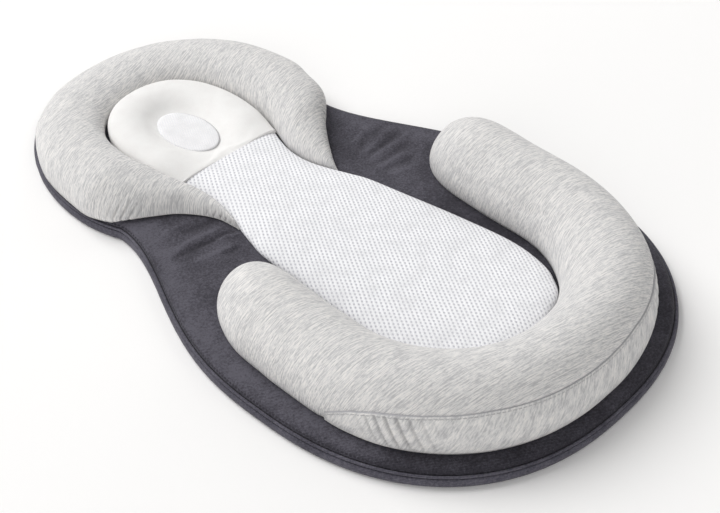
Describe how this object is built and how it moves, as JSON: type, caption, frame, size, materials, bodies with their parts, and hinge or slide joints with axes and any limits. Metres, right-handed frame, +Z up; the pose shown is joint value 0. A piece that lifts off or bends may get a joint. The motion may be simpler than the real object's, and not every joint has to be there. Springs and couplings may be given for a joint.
{
  "type": "infant lounger",
  "caption": "Padded infant lounger with a horseshoe head bolster round a dished pillow, a mesh body strip and a U-shaped leg bolster on a flat keyhole-shaped base.",
  "frame": {"origin": "centre of the footprint of the base, on the surface that the lounger lies on", "axes": "+Y along the lounger towards the head end, +X across it to the right of a person looking from the foot end, +Z up"},
  "size_m": [0.4, 0.666, 0.0743],
  "materials": {
    "slate_fabric": "matte twill",
    "heather_jersey": "matte heather knit",
    "white_jersey": "matte fine knit",
    "spacer_mesh": "open spacer mesh",
    "wadding": "soft fibre",
    "foam": "open-cell foam",
    "moulded_teeth": "moulded",
    "enamelled_metal": "enamelled"
  },
  "bodies": {
    "lounger": {"base_underside_head_panel": "slate_fabric", "base_underside_foot_panel": "slate_fabric", "base_underside_tab_left": "slate_fabric", "base_underside_tab_right": "slate_fabric", "base_edge_band": "slate_fabric", "base_edge_piping": "slate_fabric", "base_wadding_lower_head": "wadding", "base_wadding_lower_foot": "wadding", "base_wadding_upper": "wadding", "base_top_panel": "slate_fabric", "head_bolster_cover": "heather_jersey", "head_bolster_filling": "wadding", "head_pillow_cover": "white_jersey", "head_pillow_foam": "foam", "head_pillow_disc": "spacer_mesh", "body_panel_mesh": "spacer_mesh", "body_panel_foam": "foam", "leg_bolster_cover": "heather_jersey", "leg_bolster_gusset": "heather_jersey", "leg_bolster_filling": "wadding", "zip_tape_left": "slate_fabric", "zip_tape_right": "slate_fabric", "zip_teeth_left": "moulded_teeth", "zip_teeth_right": "moulded_teeth", "zip_bottom_stop": "enamelled_metal", "zip_top_stop_left": "enamelled_metal", "zip_top_stop_right": "enamelled_metal"},
    "slider": {"zip_slider": "enamelled_metal"},
    "pull": {"zip_pull": "enamelled_metal"}
  },
  "joints": [
    {"name": "zip_slide", "type": "slide", "parent": "lounger", "child": "slider", "axis": [-1, 0, 0], "range_m": [0, 0.22], "deforming": ["zip_teeth_left", "zip_teeth_right"]},
    {"name": "pull_hinge", "type": "hinge", "parent": "slider", "child": "pull", "pos_m": [0.11, -0.04, 0.00269], "axis": [0, -1, 0], "range_deg": [0, 180]}
  ]
}
